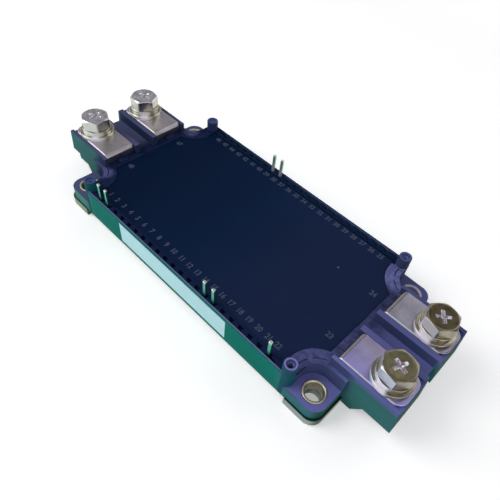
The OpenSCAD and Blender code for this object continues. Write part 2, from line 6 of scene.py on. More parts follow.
import bmesh
import bpy
import numpy as np
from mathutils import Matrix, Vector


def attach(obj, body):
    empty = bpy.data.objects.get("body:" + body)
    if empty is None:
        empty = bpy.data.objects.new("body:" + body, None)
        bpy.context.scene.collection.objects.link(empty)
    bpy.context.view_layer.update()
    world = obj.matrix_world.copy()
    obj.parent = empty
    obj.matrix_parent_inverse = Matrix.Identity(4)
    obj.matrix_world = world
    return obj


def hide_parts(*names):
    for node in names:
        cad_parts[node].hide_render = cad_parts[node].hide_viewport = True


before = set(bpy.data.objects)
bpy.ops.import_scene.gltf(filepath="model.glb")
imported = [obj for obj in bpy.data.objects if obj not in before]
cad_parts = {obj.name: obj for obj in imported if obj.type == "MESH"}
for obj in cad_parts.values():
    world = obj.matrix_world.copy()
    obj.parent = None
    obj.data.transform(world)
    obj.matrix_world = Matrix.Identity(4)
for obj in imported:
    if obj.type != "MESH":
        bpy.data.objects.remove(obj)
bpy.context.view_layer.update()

# Baseplate
# A copper plate 3 mm thick, stamped with four holes and nickel-plated, which carries the whole module.
# Its underside bears on the heatsink. Only its edge shows, as a band under the lugs, with painted light on it.


class Wire:
    """A socket among a material's nodes. Arithmetic on wires adds Math nodes, and node() adds any other."""

    def __init__(self, tree, socket=None):
        self.tree, self.socket = tree, socket

    def node(self, kind, settings=None, out=0, **sockets):
        """Adds a node, makes its settings, fills its sockets from values or wires, and returns one output.
        A socket goes by its name, with _ for a space, or by s and its number, such as s0."""
        made = self.tree.nodes.new("ShaderNode" + kind)
        for key, value in (settings or {}).items():
            if key == "stops":
                ramp = made.color_ramp.elements
                while len(ramp) < len(value):
                    ramp.new(0.5)
                for stop, (position, tone) in zip(ramp, value):
                    stop.position, stop.color = position, (*tone, 1.0)
            else:
                setattr(made, key, value)
        for key, value in sockets.items():
            at = made.inputs[int(key[1:]) if key[1:].isdigit() else key.replace("_", " ")]
            if isinstance(value, Wire):
                self.tree.links.new(value.socket, at)
            else:
                at.default_value = value
        return Wire(self.tree, made.outputs[out])

    def maths(self, operation, a, b=0.0):
        """One Math node on two values, each of them a wire or a number."""
        return self.node("Math", {"operation": operation}, s0=a, s1=b)

    def __add__(self, other):
        return self.maths("ADD", self, other)

    def __sub__(self, other):
        return self.maths("SUBTRACT", self, other)

    def __rsub__(self, other):
        return self.maths("SUBTRACT", other, self)

    def __mul__(self, other):
        return self.maths("MULTIPLY", self, other)

    def __abs__(self):
        return self.maths("ABSOLUTE", self)

    __radd__, __rmul__ = __add__, __mul__

    def axes(self):
        """The X, Y and Z of this vector, as three wires."""
        return [self.node("SeparateXYZ", out=axis, s0=self) for axis in range(3)]

    def blend(self, low, high):
        """The colour low where this wire is 0, high where it is 1. Each is red, green and blue, or a wire."""
        low, high = (tone if isinstance(tone, Wire) else (*tone, 1.0) for tone in (low, high))
        return self.node("Mix", {"data_type": "RGBA"}, out=2, s0=self, s6=low, s7=high)

    def times(self, factor):
        """This colour with each channel multiplied by a number or a wire."""
        return self.node("VectorMath", {"operation": "SCALE"}, s0=self, s3=factor)

    def between(self, low, high):
        """0 where this wire is at low or under, 1 at high or over, and an even slope between."""
        return self.node("MapRange", s0=self, s1=low, s2=high, s3=0.0, s4=1.0)

    def past(self, edge, slope):
        """For a length: 0 up to edge and 1 from slope beyond it, both in millimetres."""
        return self.between(edge / 1000, (edge + slope) / 1000)

    def before(self, edge, slope):
        """For a length: 1 up to edge and 0 from slope beyond it, both in millimetres."""
        return 1 - self.past(edge, slope)


def finish_of(name, **constants):
    """A new material whose shader has the given constants. Returns it, a wire on the piece's own coordinates,
    and a call that joins wires to the shader's sockets."""
    material = bpy.data.materials.new(name)
    material.use_nodes = True
    tree = material.node_tree
    shader = tree.nodes["Principled BSDF"]
    for key, value in constants.items():
        shader.inputs[key.replace("_", " ")].default_value = value
    place = Wire(tree).node("TexCoord", out=3)

    def join(**wires):
        for key, wire in wires.items():
            tree.links.new(wire.socket, shader.inputs[key.replace("_", " ")])

    return material, place, join


def grain(place, size, detail, stretch=(1, 1, 1)):
    """Noise with lumps about size millimetres across, stretched along the axes by the given factors."""
    scaled = place.node("Mapping", s0=place, s3=tuple(1 / factor for factor in stretch))
    return scaled.node("TexNoise", s0=scaled, Scale=1000 / size, Detail=detail, Roughness=0.55)


def bump(height, strength, depth):
    """A normal that follows height, which is depth millimetres from lowest to highest."""
    return height.node("Bump", Height=height, Strength=strength, Distance=depth / 1000)


def lean(mesh, name, direction):
    """Writes an attribute on each face: how far its normal leans towards direction, from -1 to 1."""
    normals = np.zeros(len(mesh.polygons) * 3)
    mesh.polygons.foreach_get("normal", normals)
    mesh.attributes.new(name, "FLOAT", "FACE").data.foreach_set("value", normals.reshape(-1, 3) @ direction)


def leaning(place, name, low, high):
    """What lean() wrote under a name, as 0 where it is low or less and 1 where it is high or more."""
    return place.node("Attribute", {"attribute_name": name}, out=2).between(low, high)


def wear(piece, material):
    """Gives a piece its one finish."""
    piece.data.materials.clear()
    piece.data.materials.append(material)


nickel, place, join = finish_of("baseplate_nickel", Metallic=1.0)
along = place.axes()[0]
stain = grain(place, 14, 4).between(0.35, 0.7)
roll = grain(place, 0.9, 3, (12, 1, 1))
pale = along.past(-20, 40).blend((0.20, 0.27, 0.19), (0.25, 0.31, 0.28))
# Painted light: faces that lean to the near side get the pale tone as a painted highlight, all others a dark
# green painted reflection.
edge_tone = leaning(place, "nearward", 0.55, 0.90).blend((0.040, 0.085, 0.060), pale)
join(Base_Color=edge_tone.times(1.12 - 0.30 * stain), Roughness=0.34 + 0.12 * roll,
     Normal=bump(roll, 0.25, 0.02))

# Degrees from which an edge is shaded as an edge, and rounded on a copy of a CAD node.
crease = 32


def smoothed(mesh, reach, sharp_from, closed=False):
    """Joins the points of a mesh that lie within reach millimetres of each other, and shades it smooth, but
    not at edges sharper than sharp_from degrees. With closed, it also fills holes and turns faces outwards."""
    work = bmesh.new()
    work.from_mesh(mesh)
    bmesh.ops.remove_doubles(work, verts=work.verts, dist=reach / 1000)
    if closed:
        bmesh.ops.holes_fill(work, edges=[edge for edge in work.edges if edge.is_boundary])
        bmesh.ops.recalc_face_normals(work, faces=work.faces)
    work.to_mesh(mesh)
    work.free()
    mesh.shade_smooth()
    mesh.set_sharp_from_angle(angle=math.radians(sharp_from))


def added(name, data):
    """A new object in the scene that holds the given mesh, text, lamp or camera."""
    made = bpy.data.objects.new(name, data)
    bpy.context.scene.collection.objects.link(made)
    return made


def softened(name, node, radius, steps=2):
    """A copy of a CAD node, merged, whose sharp edges are rounded to radius millimetres."""
    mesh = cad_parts[node].data.copy()
    mesh.name = name
    smoothed(mesh, 0.001, crease)
    piece = added(name, mesh)
    edge = piece.modifiers.new("rounded edges", "BEVEL")
    edge.width, edge.segments = radius / 1000, steps
    edge.limit_method, edge.angle_limit = "ANGLE", math.radians(crease)
    edge.use_clamp_overlap = False
    flat = piece.modifiers.new("flat faces", "WEIGHTED_NORMAL")
    flat.mode, flat.weight, flat.keep_sharp = "FACE_AREA", 100, True
    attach(piece, "root")
    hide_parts(node)
    return piece


plate = softened("baseplate_plated", "baseplate", 0.2)
lean(plate.data, "nearward", (0, -1, 0))
wear(plate, nickel)

# Circuit on the baseplate
# Three white ceramic plates with bonded copper tracks, soldered to the baseplate, carry transistor and diode
# chips, aluminium ribbons, small resistors and a thermistor, under clear gel. The lid hides all of it.
ceramic_top = 3.7

ceramic, place, join = finish_of("ceramic_with_tracks", Roughness=0.5)
height = place.axes()[2]
copper = height.past(ceramic_top + 0.02, 0.02)
mottle = grain(place, 3, 3)
copper_tone = mottle.blend((0.60, 0.30, 0.17), (0.72, 0.38, 0.22))
join(Base_Color=copper.blend((0.80, 0.79, 0.75), copper_tone), Metallic=copper,
     Roughness=0.5 - 0.2 * copper + 0.05 * mottle)


def two_toned(name, low, high, roughness, pattern, **constants):
    """A finish whose colour goes from low to high with a noise, which also roughens it a little. The pattern
    holds the noise's size, detail and stretch, as grain() takes them."""
    material, place, join = finish_of(name, **constants)
    noise = grain(place, *pattern)
    join(Base_Color=noise.blend(low, high), Roughness=roughness + 0.1 * noise)
    return material


silicon = two_toned("chip_metallised", (0.24, 0.25, 0.28), (0.32, 0.33, 0.36), 0.25, (0.5, 1, (20, 1, 1)),
                    Metallic=0.6)
aluminium = two_toned("ribbon_aluminium", (0.74, 0.75, 0.76), (0.84, 0.85, 0.86), 0.30, (0.3, 2, (1, 12, 1)),
                      Metallic=1.0)
chip_body = two_toned("resistor_body", (0.10, 0.10, 0.11), (0.15, 0.15, 0.16), 0.45, (0.4, 2))

clear_gel, place, join = finish_of("silicone_gel", Roughness=0.12)
ripple = grain(place, 12, 1)
join(Base_Color=ripple.blend((0.82, 0.86, 0.88), (0.88, 0.90, 0.91)), Alpha=0.30 + 0.08 * ripple,
     Normal=bump(ripple, 0.3, 0.3))

inner_finish = {"substrate": ceramic, "igbt": silicon, "diode": silicon, "bond": aluminium,
                "signal": aluminium, "gate": chip_body, "thermistor": chip_body, "silicone": clear_gel}
for node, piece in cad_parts.items():
    kind = node.split("_")[0]
    if kind in inner_finish:
        wear(piece, inner_finish[kind])

# Housing
# One moulding of glass-filled plastic: frame walls, four lugs, terminal blocks, board posts and pin slots.
# It is dark navy with a matt eroded surface, and its corners show the small radii of the mould. Its tones hold
# painted light and shade, chosen by the way each face leans, its end and its side.

# Heights, then distances from the middle along the module, then distances from the middle across it.
lug_top, recess_floor, frame_top, rim_top, post_top = 7.6, 12.0, 13.4, 13.7, 17.25
strip_end, frame_end, mount_x, dc_block, ac_block, block_end = 45.5, 50.0, 55.0, 56.5, 59.5, 75.7
block_side, recess_from, strip_in, recess_to, rim_in = 18.3, 23.5, 25.5, 28.5, 29.7
post_x, post_y, post_r, bore_r = 47.2, 28.2, 2.15, 1.0

moulded, place, join = finish_of("frame_plastic", Specular_IOR_Level=0.03)
along, across, height = place.axes()
endward, beside = abs(along), abs(across)
ac_end, far_side, far_half = along.past(-20, 60), across.past(-20, 40), across.past(-1, 2)

# Faces that look up: the low floors, the top of the frame, the strip with the slots, and the rim. Their tones
# are painted light: brighter violet at the AC end, pale violet painted highlights on the ridges beside the
# blocks, painted shade on the far side, and a pale painted highlight along the near rim.
at_frame = height.past(recess_floor, 0.5) * height.before(frame_top + 1.4, 0.2) * endward.before(mount_x, 5)
over_frame = height.past(rim_top + 0.1, 0.2) * endward.before(frame_end, 1)
in_strip = beside.past(strip_in, 0.5) * beside.before(rim_in - 0.1, 0.1) * endward.before(strip_end, 0.2)
on_rim = height.past(frame_top + 0.1, 0.1) * beside.past(rim_in, 0.2) * endward.before(strip_end + 0.5, 1)
dc_open = height.past(lug_top + 0.4, 0.4).blend((0.092, 0.106, 0.225), (0.076, 0.084, 0.170))
ac_open = far_side.blend((0.135, 0.148, 0.390), (0.090, 0.100, 0.260))
dc_ridge = beside.past(block_side - 1.8, 2.5) * beside.before(block_side + 2.7, 2)
dc_ridge = dc_ridge * endward.past(frame_end - 2.5, 2.5)
dc_frame = dc_ridge.blend((0.009, 0.016, 0.058), (0.080, 0.090, 0.215))
ac_ridge = beside.past(block_side - 2.8, 2.5).blend((0.036, 0.043, 0.112), (0.114, 0.128, 0.315))
ac_frame = far_side.blend((0.064, 0.072, 0.190), ac_ridge)
scuffed = grain(place, 1.4, 4).between(0.38, 0.62)
frame_tone = ac_end.blend(dc_frame, ac_frame).times(0.78 + 0.50 * scuffed)
strip_tone = far_half.blend((0.007, 0.015, 0.056), (0.003, 0.014, 0.042))
rim_tone = far_half.blend((0.120, 0.185, 0.330), (0.008, 0.028, 0.065))
top_tone = at_frame.blend(ac_end.blend(dc_open, ac_open), in_strip.blend(frame_tone, strip_tone))
top_tone = on_rim.blend(over_frame.blend(top_tone, (0.070, 0.095, 0.200)), rim_tone)

# Upright faces: the long walls, the sides and ends of the blocks, the edges of the lugs, and all inner walls.
# Their tones are painted light: teal-green painted reflections on the outer walls, a pale violet painted
# highlight at the top of the AC block walls, dark green painted shade on faces that lean towards the AC end,
# inner walls darker at the DC end as painted shade, and the recess walls painted nearly black as shade.
long_wall = beside.past(rim_in, 0.2) * height.before(frame_top, 0.3)
from_block = endward - (ac_block - dc_block) / 1000 * ac_end
block_wall = from_block.past(dc_block, 3) * beside.past(block_side - 0.7, 0.3)
lug_edge = height.before(lug_top - 0.4, 0.4) * beside.past(block_side - 0.7, 0.4)
outside = 1 - (1 - long_wall) * (1 - block_wall) * endward.before(block_end - 1.2, 0.5) * (1 - lug_edge)
lug_wall = ac_end.blend((0.074, 0.240, 0.215), (0.044, 0.165, 0.200))
wall_tone = endward.past(frame_end - 6, 7).blend((0.001, 0.180, 0.142), lug_wall)
top_strip = height.past(frame_top + 1.1, 1.5) * along.past(-1, 2)
block_tone = top_strip.blend((0.036, 0.150, 0.150), (0.100, 0.128, 0.300))
wall_tone = beside.before(block_side + 2.7, 0.5).blend(wall_tone, block_tone)
wall_tone = leaning(place, "ahead", 0.45, 0.85).blend(wall_tone, (0.006, 0.075, 0.050))
inner_tone = ac_end.blend((0.026, 0.040, 0.100), (0.052, 0.068, 0.170))
in_recess = beside.past(recess_from, 0.5) * beside.before(recess_to, 0.5) * height.past(recess_floor, 0.5)
side_tone = in_recess.blend(outside.blend(inner_tone, wall_tone), (0.003, 0.012, 0.036))


def off_axis(square, inner, outer):
    """From the square of the distance to an axis: 0 up to inner millimetres from it, 1 from outer."""
    return square.between((inner / 1000) ** 2, (outer / 1000) ** 2)


# Board posts: their sides, their tops with a ring round the hole, and the hole itself. Their tones are painted
# light: teal painted reflections on the near sides, darker far sides, a lilac painted highlight on the ring of
# the near AC post, and a bright blue painted light inside the hole.
post_dx, post_dy = endward - post_x / 1000, beside - post_y / 1000
from_post = post_dx * post_dx + post_dy * post_dy
post_side = 1 - off_axis(from_post, post_r + 0.13, post_r + 0.26)
side_tone = (post_side * (1 - far_half)).blend(side_tone, (0.010, 0.082, 0.112))
far_post = ac_end.blend((0.030, 0.045, 0.118), (0.046, 0.062, 0.145))
side_tone = (post_side * far_half * height.past(frame_top, 0.4)).blend(side_tone, far_post)
on_post = height.past(post_top - 2.25, 0.5) * (1 - off_axis(from_post, post_r + 0.22, post_r + 0.34))
ac_ring = far_half.blend((0.230, 0.215, 0.470), (0.085, 0.115, 0.200))
ring_tone = ac_end.blend((0.050, 0.080, 0.200), ac_ring)
post_tone = off_axis(from_post, bore_r + 0.34, bore_r + 0.52).blend((0.050, 0.062, 0.210), ring_tone)
post_tone = off_axis(from_post, post_r - 0.36, post_r - 0.23).blend(post_tone, (0.060, 0.085, 0.210))
in_bore = (1 - off_axis(from_post, bore_r + 0.01, bore_r + 0.05)) * height.before(post_top - 0.75, 0.3)

facing_up = leaning(place, "upward", 0.2, 0.8)
plain = facing_up.blend(side_tone, on_post.blend(top_tone, post_tone))
plain = in_bore.blend(plain, (0.26, 0.29, 0.56))
erosion = grain(place, 0.35, 4)
flow = grain(place, 22, 3, (2, 1, 1)).between(0.35, 0.7)
join(Base_Color=plain.times(0.88 + 0.24 * flow), Roughness=0.50 + 0.14 * erosion,
     Normal=bump(erosion, 0.35, 0.03))

housing = softened("housing_moulding", "housing", 0.12)
lean(housing.data, "upward", (0, 0, 1))
lean(housing.data, "ahead", (1, 0, 0))
wear(housing, moulded)

# Mounting bushings
# Rolled metal tubes moulded into the lugs, which take the clamping force of the mounting screws.
# Bare and dull, of a warm olive-gold, with a painted highlight on the rim where the mouth is chamfered.
bronze, place, join = finish_of("bushing_bronze")
along, across, height = place.axes()
tarnish = grain(place, 1.6, 4).between(0.3, 0.75)
# Painted shade: the far bushing at the AC end is violet and less metallic.
shaded = along.past(-1, 2) * across.past(-1, 2)
gold = tarnish.blend((0.42, 0.39, 0.29), (0.28, 0.27, 0.19))
# Painted highlight: the chamfered rim at the mouth is paler.
gold = height.past(lug_top - 0.2, 0.15).blend(gold, (0.66, 0.61, 0.46))
join(Base_Color=(0.65 * shaded).blend(gold, (0.26, 0.26, 0.46)), Metallic=1 - 0.6 * shaded,
     Roughness=0.34 + 0.18 * tarnish)
for corner in ("dc_near", "dc_far", "ac_near", "ac_far"):
    bush = softened(f"bushing_{corner}_rolled", f"bushing_{corner}", 0.12)
    wear(bush, bronze)

# Busbars
# Copper strip, punched, nickel-plated and bent: each leg rises through the frame and folds into a flat tab.
# The tabs are satin, with fine lines from rolling, and the fold shows as a narrow bright and dark strip. Their
# tones are painted light: violet towards the near side at the AC end, darker on the far AC tab, paler at the
# DC end.
tab_top, tab_wide, leg_x = 17.0, 11.7, 54.4
bolt_x, bolt_y = 68.5, 11.0
near_edges = [side * bolt_y - tab_wide / 2 for side in (-1, 1)]

satin, place, join = finish_of("busbar_nickel")
along, across, height = place.axes()
lines = grain(place, 0.22, 3, (1, 30, 1))
cloud = grain(place, 5, 4).between(0.35, 0.7)
near_tone = across.past(-15.5, 8).blend((0.42, 0.38, 0.74), (0.35, 0.32, 0.45))
ac_tone = across.past(-1, 2).blend(near_tone, (0.25, 0.24, 0.29))
tab_tone = along.past(-10, 20).blend((0.56, 0.52, 0.55), ac_tone)
fold = along.before(leg_x + 0.8, 0.6) * along.past(-1, 2)
tab_tone = fold.blend(tab_tone, (0.38, 0.355, 0.34)).times(1.10 - 0.30 * cloud)
# Painted highlight: a pale, less metallic line along the near edge of each tab's top.
at_edges = [across.past(edge - 0.25, 0.1) * across.before(edge + 0.2, 0.3) for edge in near_edges]
lit = (at_edges[0] + at_edges[1]) * height.past(tab_top - 1, 0.2)
join(Base_Color=(0.8 * lit).blend(tab_tone, (0.86, 0.84, 0.92)), Metallic=1 - 0.6 * lit,
     Roughness=0.23 + 0.12 * lines + 0.08 * cloud, Normal=bump(lines, 0.18, 0.01))
for end in ("dc_minus", "dc_plus", "ac"):
    bar = softened(f"busbar_{end}_plated", f"busbar_{end}", 0.32, steps=3)
    wear(bar, satin)

# Captive nuts
# Four steel hexagon nuts, zinc-plated, dropped into hexagon pockets before the tabs are folded over them.
# The same plating covers the washers and bolts above them. Their tones go by height and place as painted
# light: paler at the DC end, dark olive at the AC end, darkest on the far AC crown.
flat_thick, spring_thick, head_tall, rim_highlight_r, cross_r = 1.4, 1.7, 4.1, 4.24, 2.65
head_low = tab_top + flat_thick + spring_thick
head_top = head_low + head_tall
terminals = {"dc_minus": (-bolt_x, -bolt_y), "dc_plus": (-bolt_x, bolt_y),
             "ac_near": (bolt_x, -bolt_y), "ac_far": (bolt_x, bolt_y)}

zinc, place, join = finish_of("zinc_plated_steel")
along, across, height = place.axes()
ac_end, far_half = along.past(-10, 20), across.past(-1, 2)
plating = grain(place, 0.5, 4)
patch = grain(place, 2.2, 4).between(0.35, 0.7)

# The place on each stack, measured from the axis of its own bolt.
from_x = along + (1 - 2 * ac_end) * (bolt_x / 1000)
from_y = across + (1 - 2 * far_half) * (bolt_y / 1000)
from_axis = from_x * from_x + from_y * from_y

# The head of a bolt: its crown, with a painted highlight at its edge, and the sides that face the light,
# painted pale and less metallic as highlights.
crown = height.past(head_top - 0.7, 0.25)
ac_crown = far_half.blend((0.165, 0.148, 0.090), (0.052, 0.043, 0.024))
middle_tone = ac_end.blend((0.72, 0.68, 0.71), ac_crown).times(1.30 - 0.65 * patch)
edge_tone = ac_end.blend((0.74, 0.72, 0.72), (0.30, 0.27, 0.20))
crown_tone = off_axis(from_axis, rim_highlight_r, rim_highlight_r + 0.29).blend(middle_tone, edge_tone)
body_tone = ac_end.blend((0.54, 0.51, 0.42), (0.34, 0.31, 0.23)).times(1.15 - 0.45 * patch)
lit = leaning(place, "lit", 0.45, 0.80)
ac_lit = far_half.blend((0.60, 0.68, 0.85), (0.98, 0.95, 1.00))
lit_tone = ac_end.blend((0.80, 0.87, 0.80), ac_lit)
tone = (0.75 * lit).blend(crown.blend(body_tone, crown_tone), lit_tone)

# A streak of light on the washers, in a narrow sector round the direction (light_x, light_y). A place is in
# it when its distance in that direction, squared, is more than sector times the square of its distance to
# the axis. Its edges are soft, from 1.6 square millimetres less than that to 2 more.
light_x, light_y = 0.77 - 0.91 * ac_end, -0.64 - 0.35 * ac_end
sector = 0.93 - 0.06 * ac_end
toward = from_x * light_x + from_y * light_y
streak = (toward * abs(toward) - from_axis * sector).between(-1.6 / 1000 ** 2, 2.0 / 1000 ** 2)
streak = 0.85 * streak * height.past(tab_top, 0.2) * height.before(head_low - 0.1, 0.1)
tone = streak.blend(tone, (0.95, 0.90, 1.00))

# The cross recess, painted with a noise of pale glints and darker tones.
in_cross = (1 - off_axis(from_axis, cross_r, cross_r + 0.25)) * height.before(head_top - 0.18, 0.10)
in_cross = in_cross * height.past(head_top - 1.7, 0.2)
glint = grain(place, 0.7, 2).between(0.40, 0.60)
join(Base_Color=in_cross.blend(tone, glint.blend((0.30, 0.27, 0.30), (0.88, 0.84, 0.95))),
     Metallic=(1 - streak) * (1 - 0.5 * in_cross - 0.75 * lit * (1 - in_cross)),
     Roughness=0.14 + 0.10 * patch + 0.06 * plating + 0.2 * in_cross, Normal=bump(plating, 0.2, 0.015))
for end in terminals:
    wear(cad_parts[f"nut_{end}"], zinc)

# Flat washers
# Stamped steel rings, zinc-plated, one on each tab. The stamping rounds their upper edge.
flat_outer, washer_bore = 6.25, 3.2
# Degrees round from X, towards which each terminal's steel faces get a painted highlight.
lit_from = {"dc_minus": 302, "dc_plus": 264, "ac_near": 240, "ac_far": 240}


def surface(name, points, close_u=True, close_v=True):
    """A mesh through a grid of points, points[u, v], with one face between each four neighbours. A closed
    direction also joins its last row to its first."""
    rows, columns = points.shape[:2]
    index = np.arange(rows * columns).reshape(rows, columns)
    if close_u:
        index = np.concatenate([index, index[:1]])
    if close_v:
        index = np.concatenate([index, index[:, :1]], axis=1)
    faces = np.stack([index[:-1, :-1], index[1:, :-1], index[1:, 1:], index[:-1, 1:]], -1).reshape(-1, 4)
    mesh = bpy.data.meshes.new(name)
    mesh.from_pydata(points.reshape(-1, 3), [], faces)
    return mesh


def steel_piece(kind, end, how, points, close_u=True, sharp_from=crease):
    """A zinc-plated piece on a grid of points in millimetres, in the place of its CAD node. The faces that
    lean to the light at its terminal are marked, for a painted highlight."""
    node = f"{kind}_{end}"
    mesh = surface(node, points / 1000, close_u)
    smoothed(mesh, 0.0001, sharp_from, closed=True)
    azimuth = math.radians(lit_from[end])
    lean(mesh, "lit", (math.cos(azimuth), math.sin(azimuth), 0))
    piece = added(f"{node}_{how}", mesh)
    wear(piece, zinc)
    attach(piece, "root")
    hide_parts(node)


def ring_profile(inner, outer, low, high, round_top, round_low):
    """A closed section of a ring as (radius, height) pairs: a rectangle whose corners are quarter circles."""
    arcs = []
    for quarter, (r, z, radius) in enumerate([(outer - round_top, high - round_top, round_top),
                                              (inner + round_top, high - round_top, round_top),
                                              (inner + round_low, low + round_low, round_low),
                                              (outer - round_low, low + round_low, round_low)]):
        turn = (quarter + np.linspace(0, 1, 5)) * np.pi / 2
        arcs.append(np.stack([r + radius * np.cos(turn), z + radius * np.sin(turn)], -1))
    return np.concatenate(arcs)


def carried_round(profile, centre, a):
    """A section of (radius, height) pairs at each angle a round the upright axis through centre, where
    x = r cos a and y = r sin a."""
    r, z = profile.T
    return np.stack([centre[0] + r * np.cos(a), centre[1] + r * np.sin(a), z + 0 * a], -1)


whole_turn = np.linspace(0, 2 * np.pi, 96, endpoint=False)[:, None]
for end, centre in terminals.items():
    section = ring_profile(washer_bore, flat_outer, tab_top, tab_top + flat_thick, 0.28, 0.1)
    steel_piece("flat_washer", end, "stamped", carried_round(section, centre, whole_turn))

# Spring washers
# Rings wound from square steel wire and cut through at a slant. Tightened, they lie almost flat.
spring_outer, wire_round = 5.3, 0.22
split_at, split_half, split_slant = math.radians(110), 0.10, 0.40
spring_low = tab_top + flat_thick
for end, centre in terminals.items():
    section = ring_profile(washer_bore, spring_outer, spring_low, head_low, wire_round, wire_round)
    slant = split_slant * (section[:, 1] - spring_low - spring_thick / 2) / spring_outer
    sweep = split_at + split_half + np.linspace(0, 2 * (np.pi - split_half), 90)[:, None] - slant
    steel_piece("spring_washer", end, "wound", carried_round(section, centre, sweep), close_u=False)

# Terminal bolts
# Cold-forged steel bolts, zinc-plated: a hexagon head with a chamfered crown and a cross recess, and a rolled
# thread. Each was tightened until it held, so the heads and their crosses stand at different angles.
head_flats, shank_r, bolt_long = 9.4, 2.95, 12.0
thread_pitch, thread_deep, tip_taper, tip_long = 1.0, 0.28, 0.35, 0.8
# The corners of the hexagon lose corner_off, over corner_span radians to each side of a corner.
corner_off, corner_span = 0.12, 0.10
under_edge, upper_edge, edge_in, chamfer_run, crown_in = 0.15, 0.10, 0.06, 1.73, 0.1
lip_in, flat_in = 0.08, 0.2
slot_half, slot_slope, slot_long, slot_end, slot_deep = 0.62, 0.30, 2.4, 0.8, 0.85
heart_r, heart_slope, heart_deep = 1.25, 0.5, 0.4
dish_r, dish_slope, dish_deep = 3.8, 2.4, 0.06
# Degrees that each bolt's hexagon and cross are turned by.
turned = {"dc_minus": (33, 20), "dc_plus": (59, 5), "ac_near": (52, 67), "ac_far": (46, 38)}


def ease(distance, run):
    """0 at a distance of 0 or less, 1 at run or more, and an even slope between."""
    return np.clip(distance / run, 0, 1)


def bolt_surface(centre, hexagon_turn, cross_turn):
    """A bolt on a polar grid: rings climb the threaded shank, cross under the head, climb the hexagon and run
    in over the crown. The hexagon's radius at angle a is flats / 2 / cos(a folded into +-30 degrees). The
    chamfer falls outside a circle almost as wide as the flats, and the recess is two crossed slots."""
    a = np.linspace(0, 2 * np.pi, 288, endpoint=False)[None]
    rings = []

    def climb(r, z):
        rings.append(np.stack(np.broadcast_arrays(r + 0 * a, z + 0 * a)))

    tip_z = head_low - bolt_long
    z = np.arange(tip_z, head_low + 0.01, thread_pitch / 8)[:, None]
    taper = tip_taper * (1 - ease(z - tip_z, tip_long))
    wave = np.abs(((z / thread_pitch - a / (2 * np.pi)) % 1.0) * 2 - 1)
    climb(shank_r - taper - thread_deep * (1 - wave) * (z < head_low - 0.3), z)

    fold = (a - math.radians(hexagon_turn)) % (np.pi / 3) - np.pi / 6
    in_corner = ease(np.abs(fold) - np.pi / 6 + corner_span, corner_span)
    hexagon = head_flats / 2 / np.cos(fold) - corner_off * in_corner ** 2
    crown_r = head_flats / 2 - crown_in
    chamfer_z = head_top - np.maximum(hexagon - crown_r, 0) / chamfer_run
    climb(hexagon - under_edge, head_low)
    climb(hexagon, head_low + under_edge)
    climb(hexagon, chamfer_z - upper_edge)
    climb(hexagon - edge_in, chamfer_z)
    for inset in (0.0, lip_in, flat_in):
        climb(np.minimum(hexagon - edge_in, crown_r - inset), head_top - max(lip_in - inset, 0) / 3)

    r = (crown_r - flat_in) * np.linspace(0.97, 0.0, 62)[:, None]
    x, y = r * np.cos(a - math.radians(cross_turn)), r * np.sin(a - math.radians(cross_turn))
    slots = [ease(slot_half - np.abs(v), slot_slope) * ease(slot_long - np.abs(u), slot_end)
             for u, v in ((x, y), (y, x))]
    sunk = (slot_deep + heart_deep * ease(heart_r - r, heart_slope)) * np.maximum(*slots)
    climb(r, head_top - sunk - dish_deep * ease(dish_r - r, dish_slope))

    r, z = np.concatenate(rings, axis=1)
    return np.stack([centre[0] + r * np.cos(a), centre[1] + r * np.sin(a), z], -1)


for end, centre in terminals.items():
    steel_piece("bolt", end, "forged", bolt_surface(centre, *turned[end]), close_u=False, sharp_from=24)

# Control pins
# Tin-plated strip pins of 1.1 x 0.8 mm with slightly dulled tips, pushed into their slots in the frame.
pin_top = 20.5

tin, place, join = finish_of("pin_tin")
across, height = place.axes()[1:]
drag = grain(place, 0.25, 3, (1, 1, 14))
# Painted light: the green is a painted reflection, strongest on the near row; the far pins are painted grey
# above and green below, and every tip gets a pale painted highlight.
near_tone = drag.blend((0.07, 0.44, 0.31), (0.04, 0.30, 0.22))
far_tone = height.before(pin_top - 5, 2).blend((0.26, 0.50, 0.37), (0.62, 0.64, 0.70))
far_half = across.past(-1, 2)
blade_tone = far_half.blend(near_tone, far_tone)
join(Base_Color=height.past(pin_top - 1, 0.8).blend(blade_tone, (0.62, 0.72, 0.66)),
     Metallic=1 - 0.4 * far_half, Roughness=0.26 + 0.14 * drag)
for number in (1, 2, 15, 16, 22, 38, 39):
    blade = softened(f"pin_{number}_plated", f"pin_{number}", 0.14)
    wear(blade, tin)

# Lid
# A flat plate of the same plastic in a finer finish, laid into the frame's recess and glued.
# It carries one shallow round mark of the mould.
mark_x, mark_y, mark_r = 33.48, 11.0, 0.28

lid_tone, place, join = finish_of("lid_plastic", Specular_IOR_Level=0.04)
along, across = place.axes()[:2]
fine = grain(place, 0.18, 3)
haze = grain(place, 30, 3).between(0.3, 0.7)
dust = grain(place, 1.1, 3).between(0.66, 0.76)
# Painted light: the lid is darkest at the DC end and grows lighter towards the AC end, a painted sheen.
stops = [(0.10, (0.0010, 0.0090, 0.0350)), (0.52, (0.0036, 0.0145, 0.0500)), (0.85, (0.0096, 0.0185, 0.0580))]
sheen = place.node("ValToRGB", {"stops": stops}, s0=along.past(-48, 88))
plain = (dust * 0.12).blend(sheen.times(0.92 + 0.16 * haze), (0.08, 0.09, 0.14))
# Painted highlight: the mould mark is a paler spot, as a glint.
mark_dx, mark_dy = along - mark_x / 1000, across - mark_y / 1000
at_mark = 1 - off_axis(mark_dx * mark_dx + mark_dy * mark_dy, mark_r, mark_r + 0.21)
join(Base_Color=at_mark.blend(plain, (0.090, 0.105, 0.190)),
     Roughness=0.56 + 0.10 * fine + 0.05 * haze, Normal=bump(fine, 0.25, 0.015))
lid = softened("lid_moulding", "lid", 0.03)
wear(lid, lid_tone)

